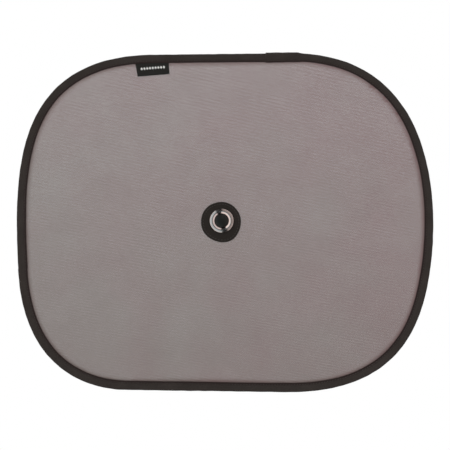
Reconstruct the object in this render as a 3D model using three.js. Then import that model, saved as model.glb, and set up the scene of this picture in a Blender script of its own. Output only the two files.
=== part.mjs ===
// A car side window sunshade: a knitted mesh panel that a sprung wire hoop holds taut inside a
// folded binding tape. One suction cup, snapped into an eyelet near the middle, carries it.
// Millimetres. +X is right as seen from inside the car, +Z is up, +Y points to the window glass.
// The origin is the centre of the suction cup's rim, where it meets the glass.

import * as THREE from "three";

// Outline, and where the eyelet's axis lies from the outline's middle
const WIDTH = 440;
const HEIGHT = 358;
const EYELET_RIGHT_OF_MIDDLE = -3.6;
const EYELET_ABOVE_MIDDLE = 2.1;

// Form of the outline, in half widths and half heights. Top and bottom each have a straight stretch,
// and curves reach on along it, by so many of its lengths, before they turn. Each side has one
// place where the curves from both corners meet, leaning so far across for each unit up.
const TOP = { from: [-0.348, 0.991], to: [0.31, 1], reachLeft: 1.028, reachRight: 1.143 };
const BOTTOM = { from: [0.292, -1], to: [-0.478, -0.987], reachRight: 0.775, reachLeft: 0.165 };
const LEFT = { at: [-0.994, -0.27], lean: -0.038, reachUp: 0.555, reachDown: 0.649 };
const RIGHT = { at: [0.992, -0.207], lean: 0.092, reachUp: 0.199, reachDown: 0.314 };

// Clearances: between pieces that pass through one another, and between cloths that lie flat
const FIT_GAP = 0.25;
const LAYER_GAP = 0.1;

// Mesh panel
const PANEL_THICKNESS = 0.5;

// Wire hoop, and the sleeve crimped over its two ends
const WIRE_DIAMETER = 1.5;
const WIRE_END_GAP = 0.6;
const FERRULE_LENGTH = 20;
const FERRULE_WALL = 0.3;

// Binding tape, and the overlap of its two ends round the top right corner's start
const TAPE_THICKNESS = 0.4;
const BINDING_WIDTH = 9.5;
const OVERLAP_BEFORE_TURN = 24;
const OVERLAP_LENGTH = 33;
const OVERLAP_DIP = 0.6;
const CUT_END = 0.6;
const UNDER_END = 8;
const POCKET_EASE = 4;

// Woven label, tucked under the front lip of the binding where the top left corner ends
const LABEL_WIDTH = 35.3;
const LABEL_DROP = 12.4;
const LABEL_FROM_PANEL_EDGE = 3;
const LABEL_THICKNESS = 0.5;
const LABEL_TILT = THREE.MathUtils.degToRad(3.4);
const LIFT_MARGIN = 0.5;
const LIP_EASE = 7;

// Eyelet: a rolled flange, a barrel, and a curl that grips the washer
const EYELET_DIAMETER = 25.4;
const EYELET_BORE = 12.7;
const EYELET_WALL = 0.45;
const ROLL_HEIGHT = 2.3;
const CURL_RADIUS = 0.85;
const WASHER_DIAMETER = 24;
const WASHER_THICKNESS = 0.5;

// Round patches under the eyelet and its washer
const PATCH_MARGIN = 8.3;
const PATCH_THICKNESS = 0.6;

// Suction cup, with a button head that snaps through the eyelet
const CUP_DIAMETER = 40;
const CUP_DEPTH = 10;
const RIM_WIDTH = 2.5;
const RIM_THICKNESS = 0.8;
const SHOULDER_DIAMETER = 19;
const SHOULDER_CHAMFER = 0.8;
const FLARE_TURN_DIAMETER = 24;
const FLARE_TURN_DEPTH = 5.4;
const HOLLOW_DEPTH = 6.1;
const HOLLOW_TURN_DIAMETER = 25;
const NECK_CLEARANCE = 0.55;
const HEAD_OVERHANG = 0.8;
const HEAD_RISE = 1.1;
const HEAD_UNDERSIDE = 0.9;

// Facets
const STATION_TURN = THREE.MathUtils.degToRad(4.5);
const STATION_REACH = 20;
const STATION_APART = 1.5;
const TURNED_SIDES = 40;
const WIRE_SIDES = 8;
const FERRULE_SIDES = 12;
const FOLD_STEPS = 6;
const ROLL_STEPS = 6;
const CURL_STEPS = 3;
const HEAD_STEPS = 6;
const FLARE_STEPS = 5;
const HOLLOW_STEPS = 6;

// The layers at the eyelet, from the suction cup's shoulder towards the cabin
const curlBack = -(CUP_DEPTH + FIT_GAP);
const washerBack = curlBack - CURL_RADIUS - LAYER_GAP;
const washerFront = washerBack - WASHER_THICKNESS;
const backPatchBack = washerFront - LAYER_GAP;
const backPatchFront = backPatchBack - PATCH_THICKNESS;
const panelBack = backPatchFront - LAYER_GAP;
const panelFront = panelBack - PANEL_THICKNESS;
const panelMiddle = (panelBack + panelFront) / 2;
const frontPatchBack = panelFront - LAYER_GAP;
const frontPatchFront = frontPatchBack - PATCH_THICKNESS;
const flangeLip = frontPatchFront - LAYER_GAP;

// The wire's pocket in the fold, and how far in from the edge the wire and the panel lie
const wireRadius = WIRE_DIAMETER / 2;
const ferruleBore = wireRadius + FIT_GAP;
const ferruleRadius = ferruleBore + FERRULE_WALL;
const plainPocket = wireRadius + FIT_GAP;
const ferrulePocket = ferruleRadius + FIT_GAP;
const wireInset = TAPE_THICKNESS + plainPocket;
const panelInset = wireInset + ferruleRadius + FIT_GAP;

// The slot between the lips, and the depth in from the edge as far as the label lifts the front lip
const slotHalf = PANEL_THICKNESS / 2 + LAYER_GAP;
const labelSlotHalf = slotHalf + LABEL_THICKNESS + LAYER_GAP;
const labelTop = panelInset + LABEL_FROM_PANEL_EDGE;
const liftDepth = labelTop - (LABEL_WIDTH / 2) * Math.sin(LABEL_TILT) - LIFT_MARGIN;

// The eyelet's roll, as half an ellipse between its outer edge and its bore
const eyeletRadius = EYELET_DIAMETER / 2;
const boreRadius = EYELET_BORE / 2;
const rollMiddle = (eyeletRadius + boreRadius) / 2;
const rollHalf = (eyeletRadius - boreRadius) / 2;
const barrelHole = boreRadius + EYELET_WALL + FIT_GAP;
const patchRadius = eyeletRadius + PATCH_MARGIN;

// The outline as one closed curve in the XZ plane, clockwise from the place on the left side
function outlineCurve() {
  const [topFrom, topTo, bottomFrom, bottomTo, left, right] = [
    TOP.from, TOP.to, BOTTOM.from, BOTTOM.to, LEFT.at, RIGHT.at,
  ].map(([x, z]) => new THREE.Vector2(x, z));
  const top = topTo.clone().sub(topFrom);
  const bottom = bottomTo.clone().sub(bottomFrom);
  const upLeft = new THREE.Vector2(LEFT.lean, 1);
  const upRight = new THREE.Vector2(RIGHT.lean, 1);
  const reach = (from, direction, share) => from.clone().addScaledVector(direction, share);
  const aboveLeft = reach(left, upLeft, LEFT.reachUp);
  const belowLeft = reach(left, upLeft, -LEFT.reachDown);
  const aboveRight = reach(right, upRight, RIGHT.reachUp);
  const belowRight = reach(right, upRight, -RIGHT.reachDown);
  const stretches = [
    [left, aboveLeft, reach(topFrom, top, -TOP.reachLeft), topFrom],
    [topFrom, topTo],
    [topTo, reach(topTo, top, TOP.reachRight), aboveRight, right],
    [right, belowRight, reach(bottomFrom, bottom, -BOTTOM.reachRight), bottomFrom],
    [bottomFrom, bottomTo],
    [bottomTo, reach(bottomTo, bottom, BOTTOM.reachLeft), belowLeft, left],
  ];
  const curveOf = (points) =>
    points.length === 2 ? new THREE.LineCurve(...points) : new THREE.CubicBezierCurve(...points);
  const drawn = new THREE.Box2();
  drawn.setFromPoints(stretches.flatMap((points) => curveOf(points).getPoints(200)));
  const size = drawn.getSize(new THREE.Vector2());
  const centre = drawn.getCenter(new THREE.Vector2());
  const toSize = ({ x, y }) =>
    new THREE.Vector2(
      ((x - centre.x) * WIDTH) / size.x - EYELET_RIGHT_OF_MIDDLE,
      ((y - centre.y) * HEIGHT) / size.y - EYELET_ABOVE_MIDDLE,
    );
  const curve = new THREE.CurvePath();
  stretches.forEach((points) => curve.add(curveOf(points.map(toSize))));
  return curve;
}

const outline = outlineCurve();
const outlineLength = outline.getLength();

// The place on the outline a given run from its start, with the directions along it and inwards
function placeAt(run) {
  const share = run / outlineLength;
  const along = outline.getTangent(share);
  const inwards = new THREE.Vector2(along.y, -along.x);
  return { run, point: outline.getPoint(share), along, inwards };
}

// 1 between two runs, and eased down to 0 over the given lengths outside them
function plateau(run, from, to, easeIn, easeOut) {
  const rise = THREE.MathUtils.clamp(1 - (from - run) / easeIn, 0, 1);
  const fall = THREE.MathUtils.clamp(1 - (run - to) / easeOut, 0, 1);
  return Math.min(rise, fall);
}

// What happens along the edge: the label, the tape's overlap, and the sleeve in the middle of it
const [labelRun, turnRun] = outline.getCurveLengths();
const labelFrom = labelRun - LABEL_WIDTH / 2 - LIFT_MARGIN;
const labelTo = labelRun + LABEL_WIDTH / 2 + LIFT_MARGIN;
const overlapFrom = turnRun - OVERLAP_BEFORE_TURN;
const overlapTo = overlapFrom + OVERLAP_LENGTH;
const joinRun = (overlapFrom + overlapTo) / 2;
const pocketFrom = joinRun - FERRULE_LENGTH / 2 - FIT_GAP;
const pocketTo = joinRun + FERRULE_LENGTH / 2 + FIT_GAP;

// The places along the edge where a section is drawn: close together in the corners, and wherever
// the binding changes
function edgePlaces() {
  const marks = [
    labelFrom - LIP_EASE,
    labelFrom,
    labelRun,
    labelTo,
    labelTo + LIP_EASE,
    overlapFrom - CUT_END,
    overlapFrom,
    pocketFrom - POCKET_EASE,
    pocketFrom,
    joinRun - WIRE_END_GAP / 2,
    joinRun + WIRE_END_GAP / 2,
    pocketTo,
    pocketTo + POCKET_EASE,
    overlapTo - UNDER_END,
    overlapTo,
  ];
  const runs = [0];
  let last = placeAt(0);
  for (let run = 0; run < outlineLength - STATION_APART; run += STATION_APART / 4) {
    const here = placeAt(run);
    const turned = Math.abs(last.along.angleTo(here.along));
    if (turned >= STATION_TURN || run - last.run >= STATION_REACH) {
      runs.push(run);
      last = here;
    }
  }
  const clear = runs.filter((run) => marks.every((mark) => Math.abs(mark - run) > STATION_APART));
  return [...clear, ...marks].sort((a, b) => a - b).map(placeAt);
}

const places = edgePlaces();

// A point of a section: its depth in from the edge, and its height from the panel's middle plane
function sectionPoint(place, depth, height) {
  const x = place.point.x + place.inwards.x * depth;
  const z = place.point.y + place.inwards.y * depth;
  return new THREE.Vector3(x, panelMiddle + height, z);
}

// A closed skin through sections of equally many points. In a ring the last section joins the
// first, and in a rod the two end sections, which are convex, are capped.
function skin(sections, isRing) {
  const count = sections[0].length;
  const spans = isRing ? sections.length : sections.length - 1;
  const faces = [];
  for (let i = 0; i < spans; i++) {
    const here = i * count;
    const next = ((i + 1) % sections.length) * count;
    for (let j = 0; j < count; j++) {
      const k = (j + 1) % count;
      faces.push(here + j, here + k, next + k, here + j, next + k, next + j);
    }
  }
  if (!isRing) {
    const end = spans * count;
    for (let j = 1; j < count - 1; j++) {
      faces.push(0, j + 1, j, end, end + j, end + j + 1);
    }
  }
  const geometry = new THREE.BufferGeometry().setFromPoints(sections.flat());
  geometry.setIndex(faces);
  return geometry;
}

// A solid of revolution about the eyelet's axis, from a closed outline of radii and places along Y
function turned(points) {
  const profile = points.map(([radius, y]) => new THREE.Vector2(radius, y));
  return new THREE.LatheGeometry(profile, TURNED_SIDES);
}

// Points of an arc or ellipse in the half plane of radius and Y, both ends included
function arcPoints(middle, y, across, along, fromDegrees, toDegrees, steps) {
  return Array.from({ length: steps + 1 }, (_, i) => {
    const angle = THREE.MathUtils.degToRad(fromDegrees + ((toDegrees - fromDegrees) * i) / steps);
    return [middle + across * Math.cos(angle), y + along * Math.sin(angle)];
  });
}

// One section of the folded tape: outside from the back lip round the wire to the front lip, and
// then inside, round the pocket, back to the back lip
function bindingSection(place) {
  const { run } = place;
  const doubled = plateau(run, overlapFrom, overlapTo - UNDER_END, CUT_END, UNDER_END);
  const widened = plateau(run, pocketFrom, pocketTo, POCKET_EASE, POCKET_EASE);
  const lifted = plateau(run, labelFrom, labelTo, LIP_EASE, LIP_EASE);
  const tape = TAPE_THICKNESS * (1 + doubled);
  const pocket = THREE.MathUtils.lerp(plainPocket, ferrulePocket, widened);
  const frontSlot = THREE.MathUtils.lerp(slotHalf, labelSlotHalf, lifted);
  const width = BINDING_WIDTH + OVERLAP_DIP * doubled;
  const fold = pocket + tape;
  const liftShare = (liftDepth - wireInset) / (width - wireInset);
  const eased = THREE.MathUtils.lerp(fold, slotHalf + tape, liftShare);
  const frontEased = Math.max(eased, frontSlot + tape);
  const foldArc = arcPoints(wireInset, 0, fold, fold, 90, 270, FOLD_STEPS);
  const slotAngle = THREE.MathUtils.radToDeg(Math.asin(slotHalf / pocket));
  const pocketStep = THREE.MathUtils.degToRad((360 - 2 * slotAngle) / FOLD_STEPS);
  const pocketWide = pocket / Math.cos(pocketStep / 2);
  const pocketArc = arcPoints(wireInset, 0, pocketWide, pocketWide, 360 - slotAngle, slotAngle, FOLD_STEPS);
  const outside = [
    [width, slotHalf + tape],
    [liftDepth, eased],
    ...foldArc,
    [liftDepth, -frontEased],
    [width, -(frontSlot + tape)],
  ];
  const inside = [
    [width, -frontSlot],
    [liftDepth, -frontSlot],
    [panelInset, -slotHalf],
    ...pocketArc,
    [width, slotHalf],
  ];
  return [...outside, ...inside].map(([depth, height]) => sectionPoint(place, depth, height));
}

// A round section about the wire's middle
function wireSection(place) {
  return Array.from({ length: WIRE_SIDES }, (_, i) => {
    const angle = (2 * Math.PI * i) / WIRE_SIDES;
    const depth = wireInset + wireRadius * Math.cos(angle);
    return sectionPoint(place, depth, wireRadius * Math.sin(angle));
  });
}

// The hoop is one length of wire that starts and ends at the join
function wireHoop() {
  const start = places.findIndex((place) => place.run > joinRun);
  return skin([...places.slice(start), ...places.slice(0, start)].map(wireSection), false);
}

// The sleeve over the wire's ends, drawn side by side round the wire
function wireFerrule() {
  const stops = [0, 0.25, 0.5, 0.75, 1].map((share) => placeAt(joinRun + (share - 0.5) * FERRULE_LENGTH));
  const side = (angle, radius) => (place) =>
    sectionPoint(place, wireInset + radius * Math.cos(angle), radius * Math.sin(angle));
  const sides = Array.from({ length: FERRULE_SIDES }, (_, i) => {
    const angle = (2 * Math.PI * i) / FERRULE_SIDES;
    const outer = stops.map(side(angle, ferruleRadius)).reverse();
    const inner = stops.map(side(angle, ferruleBore));
    return [...outer, ...inner];
  });
  return skin(sides, true);
}

// The panel reaches into the binding, almost to the wire, and has a hole for the eyelet's barrel
function meshPanel() {
  const edge = places.map(({ point, inwards }) => point.clone().addScaledVector(inwards, panelInset));
  const shape = new THREE.Shape(edge);
  shape.holes.push(new THREE.Path().absarc(0, 0, barrelHole, 0, 2 * Math.PI));
  const options = { depth: PANEL_THICKNESS, bevelEnabled: false, curveSegments: TURNED_SIDES / 2 };
  const geometry = new THREE.ExtrudeGeometry(shape, options);
  return geometry.rotateX(Math.PI / 2).translate(0, panelBack, 0);
}

// A flat ring round the barrel
function flatRing(radius, front, back) {
  return turned([
    [barrelHole, front],
    [radius, front],
    [radius, back],
    [barrelHole, back],
    [barrelHole, front],
  ]);
}

// Sheet metal: over the roll from its outer edge, down the bore, out round the curl, and back
function eyelet() {
  const inner = EYELET_WALL;
  const curlMiddle = boreRadius + CURL_RADIUS;
  const curlEnd = washerBack + LAYER_GAP;
  return turned([
    ...arcPoints(rollMiddle, flangeLip, rollHalf, -ROLL_HEIGHT, 0, 180, ROLL_STEPS).reverse(),
    ...arcPoints(rollMiddle, flangeLip, rollHalf - inner, -(ROLL_HEIGHT - inner), 0, 180, ROLL_STEPS),
    ...arcPoints(curlMiddle, curlEnd, CURL_RADIUS - inner, CURL_RADIUS - inner, 180, 0, CURL_STEPS),
    ...arcPoints(curlMiddle, curlEnd, CURL_RADIUS, CURL_RADIUS, 0, 180, CURL_STEPS),
    [boreRadius, flangeLip],
  ]);
}

// The cup from its button head, seated in the mouth of the eyelet, to the hollow under its rim
function suctionCup() {
  const headRadius = boreRadius + HEAD_OVERHANG;
  const neckRadius = boreRadius - NECK_CLEARANCE;
  const rimRadius = CUP_DIAMETER / 2;
  const shoulderRadius = SHOULDER_DIAMETER / 2;
  const seatAngle = Math.acos((rollMiddle - headRadius - FIT_GAP) / rollHalf);
  const headSeat = flangeLip - ROLL_HEIGHT * Math.sin(seatAngle);
  const head = new THREE.EllipseCurve(0, headSeat, headRadius, HEAD_RISE, -Math.PI / 2, 0);
  const flare = new THREE.QuadraticBezierCurve(
    new THREE.Vector2(shoulderRadius, SHOULDER_CHAMFER - CUP_DEPTH),
    new THREE.Vector2(FLARE_TURN_DIAMETER / 2, -FLARE_TURN_DEPTH),
    new THREE.Vector2(rimRadius, -RIM_THICKNESS),
  );
  const hollow = new THREE.QuadraticBezierCurve(
    new THREE.Vector2(rimRadius - RIM_WIDTH, 0),
    new THREE.Vector2(HOLLOW_TURN_DIAMETER / 2, -HOLLOW_DEPTH),
    new THREE.Vector2(0, -HOLLOW_DEPTH),
  );
  return turned([
    ...head.getPoints(HEAD_STEPS).map(({ x, y }) => [x, y]),
    [neckRadius, headSeat + HEAD_UNDERSIDE],
    [neckRadius, -CUP_DEPTH],
    [shoulderRadius - SHOULDER_CHAMFER, -CUP_DEPTH],
    ...flare.getPoints(FLARE_STEPS).map(({ x, y }) => [x, y]),
    [rimRadius, 0],
    ...hollow.getPoints(HOLLOW_STEPS).map(({ x, y }) => [x, y]),
  ]);
}

// The label lies flat on the panel, and is sewn in a little out of square with the edge
function wovenLabel() {
  const { point, along, inwards } = placeAt(labelRun);
  const length = BINDING_WIDTH + LABEL_DROP - labelTop;
  const centre = point.clone().addScaledVector(inwards, labelTop + length / 2);
  const geometry = new THREE.BoxGeometry(LABEL_WIDTH, LABEL_THICKNESS, length);
  geometry.rotateY(-along.angle() - LABEL_TILT);
  return geometry.translate(centre.x, panelFront - LAYER_GAP - LABEL_THICKNESS / 2, centre.y);
}

const shade = new THREE.Group();

function piece(name, geometry, color, roughness, metalness) {
  const mesh = new THREE.Mesh(geometry, new THREE.MeshStandardMaterial({ color, roughness, metalness }));
  mesh.name = name;
  shade.add(mesh);
}

piece("mesh_panel", meshPanel(), 0x91878a, 0.9, 0);
piece("edge_binding", skin(places.map(bindingSection), true), 0x2c2622, 0.85, 0);
piece("wire_hoop", wireHoop(), 0x9a9a9c, 0.4, 1);
piece("wire_ferrule", wireFerrule(), 0xa8a8aa, 0.45, 1);
piece("woven_label", wovenLabel(), 0x161815, 0.7, 0);
piece("front_patch", flatRing(patchRadius, frontPatchFront, frontPatchBack), 0x282420, 0.9, 0);
piece("back_patch", flatRing(patchRadius, backPatchFront, backPatchBack), 0x282420, 0.9, 0);
piece("eyelet_front", eyelet(), 0xd8d4d0, 0.18, 1);
piece("eyelet_washer", flatRing(WASHER_DIAMETER / 2, washerFront, washerBack), 0xd8d4d0, 0.22, 1);
piece("suction_cup", suctionCup(), 0x26241f, 0.3, 0);

export default shade;
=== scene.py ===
"""A car side window sunshade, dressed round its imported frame.

Sizes in the classes are in millimetres, and the meshes are made in metres. +X is right as seen
from inside the car, +Z is up and +Y points to the window glass. The origin is the middle of the
suction cup's rim, on the eyelet's axis.
"""

import logging
import math
from bisect import bisect_right
from dataclasses import dataclass, field
from enum import Enum
from typing import Sequence

import bmesh
import bpy
from bpy.types import Material, Node, NodeSocket, NodeTree, Object
from mathutils import Matrix, Vector, noise
from mathutils.geometry import interpolate_bezier


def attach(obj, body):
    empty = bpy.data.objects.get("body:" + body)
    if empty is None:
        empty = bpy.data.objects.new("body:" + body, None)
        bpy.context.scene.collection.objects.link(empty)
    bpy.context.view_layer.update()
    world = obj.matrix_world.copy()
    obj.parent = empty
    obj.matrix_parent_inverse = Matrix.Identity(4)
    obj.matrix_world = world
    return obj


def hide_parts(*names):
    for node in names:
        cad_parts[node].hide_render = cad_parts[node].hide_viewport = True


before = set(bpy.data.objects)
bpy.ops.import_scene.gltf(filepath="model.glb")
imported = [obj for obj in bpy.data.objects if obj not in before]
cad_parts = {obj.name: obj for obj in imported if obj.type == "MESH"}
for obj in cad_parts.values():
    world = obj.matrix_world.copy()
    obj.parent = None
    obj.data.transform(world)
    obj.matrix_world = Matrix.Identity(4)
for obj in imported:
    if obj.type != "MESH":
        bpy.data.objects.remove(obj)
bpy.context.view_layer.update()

MM = 0.001
TURN = math.tau
SMOOTH_BELOW = math.radians(38)
LOG = logging.getLogger("sunshade")

BMesh = bmesh.types.BMesh
Pair = tuple[float, float]
Triple = tuple[float, float, float]


# Shared sizes and small sums


@dataclass(frozen=True)
class Layers:
    """Where the layers at the eyelet lie along Y; the cabin is towards -Y."""

    cup_shoulder: float = -10.0
    curl_end: float = -11.1
    washer_back: float = -11.2
    washer_front: float = -11.7
    back_patch_back: float = -11.8
    back_patch_front: float = -12.4
    panel_middle: float = -12.75
    front_patch_back: float = -13.1
    front_patch_front: float = -13.7
    flange_lip: float = -13.8
    barrel_hole: float = 7.05
    patch_radius: float = 21.0


LAYERS = Layers()


def clamp(value: float, low: float = 0.0, high: float = 1.0) -> float:
    """Keeps a value between low and high."""
    return max(low, min(high, value))


def ease(value: float) -> float:
    """Turns 0 to 1 into a smooth 0 to 1, level at both ends."""
    share = clamp(value)
    return share * share * (3 - 2 * share)


def mix(low: float, high: float, share: float) -> float:
    """The value a share of the way from low to high."""
    return low + (high - low) * share


def wander(*place: float) -> float:
    """A smooth, repeatable random value of about -1 to 1 at up to three coordinates."""
    return 2 * noise.noise(Vector((*place, 0.37, 0.71)[:3]))


def metres(lengths: Sequence[float]) -> tuple[float, ...]:
    """Lengths in millimetres, in metres."""
    return tuple(length * MM for length in lengths)


# The outline of the shade


@dataclass(frozen=True)
class Place:
    """One place on the shade's edge.

    run is the distance along the edge, and turn is how sharply the edge bends there, as one over
    the bend's radius.
    """

    run: float
    point: Vector
    along: Vector
    inwards: Vector
    turn: float

    def spot(self, depth: float, height: float) -> Vector:
        """A point in from the edge by depth, and height off the panel's middle plane, in metres."""
        flat = self.point + self.inwards * depth
        return Vector((flat.x, LAYERS.panel_middle + height, flat.y)) * MM


@dataclass
class Outline:
    """The shade's edge as one closed curve, clockwise from a place on its left side.

    Ends and meeting places are in half widths and half heights. Top and bottom have a straight
    stretch, and the corner curves reach on along it by so many of its lengths.
    """

    width: float = 440.0
    height: float = 358.0
    eyelet: Pair = (-3.6, 2.1)
    top: tuple[Pair, Pair] = ((-0.348, 0.991), (0.31, 1.0))
    top_reach: Pair = (1.028, 1.143)
    bottom: tuple[Pair, Pair] = ((0.292, -1.0), (-0.478, -0.987))
    bottom_reach: Pair = (0.775, 0.165)
    left_at: Pair = (-0.994, -0.27)
    left_lean: float = -0.038
    left_reach: Pair = (0.555, 0.649)
    right_at: Pair = (0.992, -0.207)
    right_lean: float = 0.092
    right_reach: Pair = (0.199, 0.314)
    steps: int = 240
    points: list[Vector] = field(init=False, default_factory=list)
    runs: list[float] = field(init=False, default_factory=list)
    ends: list[float] = field(init=False, default_factory=list)

    def __post_init__(self) -> None:
        """Draws the curve, fits it to width and height, and measures the run at each point."""
        drawn: list[Vector] = []
        counts: list[int] = []
        for knots in self.stretches():
            part = interpolate_bezier(*knots, self.steps + 1)
            drawn.extend(Vector(p[:2]) for p in (part[1:] if drawn else part))
            counts.append(len(drawn) - 1)
        low = Vector((min(p.x for p in drawn), min(p.y for p in drawn)))
        high = Vector((max(p.x for p in drawn), max(p.y for p in drawn)))
        size, middle = high - low, (high + low) / 2
        for p in drawn:
            x = (p.x - middle.x) * self.width / size.x - self.eyelet[0]
            z = (p.y - middle.y) * self.height / size.y - self.eyelet[1]
            self.points.append(Vector((x, z)))
        self.runs = [0.0]
        for before, after in zip(self.points, self.points[1:]):
            self.runs.append(self.runs[-1] + (after - before).length)
        self.ends = [self.runs[i] for i in counts]

    def stretches(self) -> list[list[Vector]]:
        """The six stretches, each as the knots and handles of a Bezier curve.

        Returns:
            Lists of first knot, first handle, second handle and second knot.
        """
        knots = (*self.top, *self.bottom, self.left_at, self.right_at)
        top_from, top_to, bottom_from, bottom_to, left, right = (Vector((*k, 0)) for k in knots)
        top, bottom = top_to - top_from, bottom_to - bottom_from
        up_left, up_right = Vector((self.left_lean, 1, 0)), Vector((self.right_lean, 1, 0))
        above = (left + up_left * self.left_reach[0], right + up_right * self.right_reach[0])
        below = (left - up_left * self.left_reach[1], right - up_right * self.right_reach[1])
        return [
            [left, above[0], top_from - top * self.top_reach[0], top_from],
            [top_from, top_from + top / 3, top_to - top / 3, top_to],
            [top_to, top_to + top * self.top_reach[1], above[1], right],
            [right, below[1], bottom_from - bottom * self.bottom_reach[0], bottom_from],
            [bottom_from, bottom_from + bottom / 3, bottom_to - bottom / 3, bottom_to],
            [bottom_to, bottom_to + bottom * self.bottom_reach[1], below[0], left],
        ]

    @property
    def length(self) -> float:
        """The length of the whole edge."""
        return self.runs[-1]

    def point(self, run: float) -> Vector:
        """The point at a run, which may be before the start or past the end."""
        run %= self.length
        i = min(bisect_right(self.runs, run), len(self.runs) - 1)
        before, after = self.runs[i - 1], self.runs[i]
        return self.points[i - 1].lerp(self.points[i], (run - before) / (after - before))

    def direction(self, run: float) -> Vector:
        """The unit direction along the edge at a run."""
        return (self.point(run + 0.9) - self.point(run - 0.9)).normalized()

    def at(self, run: float) -> Place:
        """Everything about the edge at a run."""
        along = self.direction(run)
        before, after = self.direction(run - 4), self.direction(run + 4)
        turn = abs(before.angle_signed(after)) / 8
        return Place(run, self.point(run), along, Vector((along.y, -along.x)), turn)


# Making meshes


def loft(
    rows: Sequence[Sequence[Vector]],
    marks: Sequence[Sequence[Pair]],
    round_rows: bool,
    round_path: bool,
) -> BMesh:
    """Lays a grid of quads through rows of points.

    Args:
        rows: equally many points in each row, in metres. In a round row the last point repeats
            the first, and on a round path the last row repeats the first.
        marks: the cloth coordinates of each point, along and across, in metres.
        round_rows: whether each row is welded into a ring.
        round_path: whether the last row is welded to the first.

    Returns:
        The mesh, with a UV map named cloth.
    """
    bm = bmesh.new()
    cloth = bm.loops.layers.uv.new("cloth")
    across = len(rows[0])
    bmesh.ops.create_grid(bm, x_segments=across - 1, y_segments=len(rows) - 1, size=1)
    verts = list(bm.verts)
    lines = [verts[i * across : (i + 1) * across] for i in range(len(rows))]
    mark_of = {}
    for line, row, each in zip(lines, rows, marks):
        for vert, spot, mark in zip(line, row, each):
            vert.co = spot
            mark_of[vert] = mark
    for face in bm.faces:
        for loop in face.loops:
            loop[cloth].uv = mark_of[loop.vert]
    targets = {}
    last_row, last_point = len(rows) - 1, across - 1
    for i, each in enumerate(lines):
        for j, vert in enumerate(each):
            to = (
                0 if round_path and i == last_row else i,
                0 if round_rows and j == last_point else j,
            )
            if to != (i, j):
                targets[vert] = lines[to[0]][to[1]]
    if targets:
        bmesh.ops.weld_verts(bm, targetmap=targets)
    return bm


def turned(profile: Sequence[Pair], closed: bool, steps: int = 96) -> BMesh:
    """Spins a profile once round the eyelet's axis.

    Args:
        profile: radius and place along Y of each point.
        closed: whether the profile is a loop, for a ring; else it runs from axis to axis.
        steps: how many sides the turned shape has.
    """
    bm = bmesh.new()
    verts = [bm.verts.new(Vector((radius, y, 0)) * MM) for radius, y in profile]
    pairs = list(zip(verts, verts[1:])) + ([(verts[-1], verts[0])] if closed else [])
    edges = [bm.edges.new(pair) for pair in pairs]
    bmesh.ops.spin(
        bm, geom=verts + edges, cent=(0, 0, 0), axis=(0, 1, 0), angle=TURN, steps=steps,
        use_merge=True, use_duplicate=False,
    )
    bmesh.ops.remove_doubles(bm, verts=bm.verts, dist=1e-7)
    bmesh.ops.recalc_face_normals(bm, faces=bm.faces)
    return bm


def bezier(*knots: Pair, steps: int = 10) -> list[Pair]:
    """Points on one Bezier curve, from its first knot, two handles and last knot."""
    return [(p[0], p[1]) for p in interpolate_bezier(*(Vector((*k, 0)) for k in knots), steps + 1)]


def arc(middle: Pair, radii: Pair, start: float, end: float, steps: int) -> list[Pair]:
    """Points on part of an ellipse, from one angle to another in degrees."""
    angles = [math.radians(mix(start, end, i / steps)) for i in range(steps + 1)]
    return [
        (middle[0] + radii[0] * math.cos(a), middle[1] + radii[1] * math.sin(a)) for a in angles
    ]


def linked(name: str, bm: BMesh, material: Material) -> Object:
    """Turns a mesh, which is freed, into an object with one material."""
    mesh = bpy.data.meshes.new(name)
    bm.to_mesh(mesh)
    bm.free()
    mesh.materials.append(material)
    thing = bpy.data.objects.new(name, mesh)
    bpy.context.scene.collection.objects.link(thing)
    return thing


def finished(
    name: str, bm: BMesh, material: Material, body: str, stands_for: Sequence[str] = ()
) -> Object:
    """Turns a mesh into a named piece that rides on a body.

    Args:
        name: the piece's name.
        bm: the mesh, in place, which is freed.
        material: its finish.
        body: the body that it moves with.
        stands_for: the CAD nodes that it replaces.
    """
    piece = linked(name, bm, material)
    piece.data.shade_smooth()
    piece.data.set_sharp_from_angle(angle=SMOOTH_BELOW)
    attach(piece, body)
    if stands_for:
        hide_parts(*stands_for)
    LOG.info("%s: %d faces", name, len(piece.data.polygons))
    return piece


# Finishes


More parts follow.
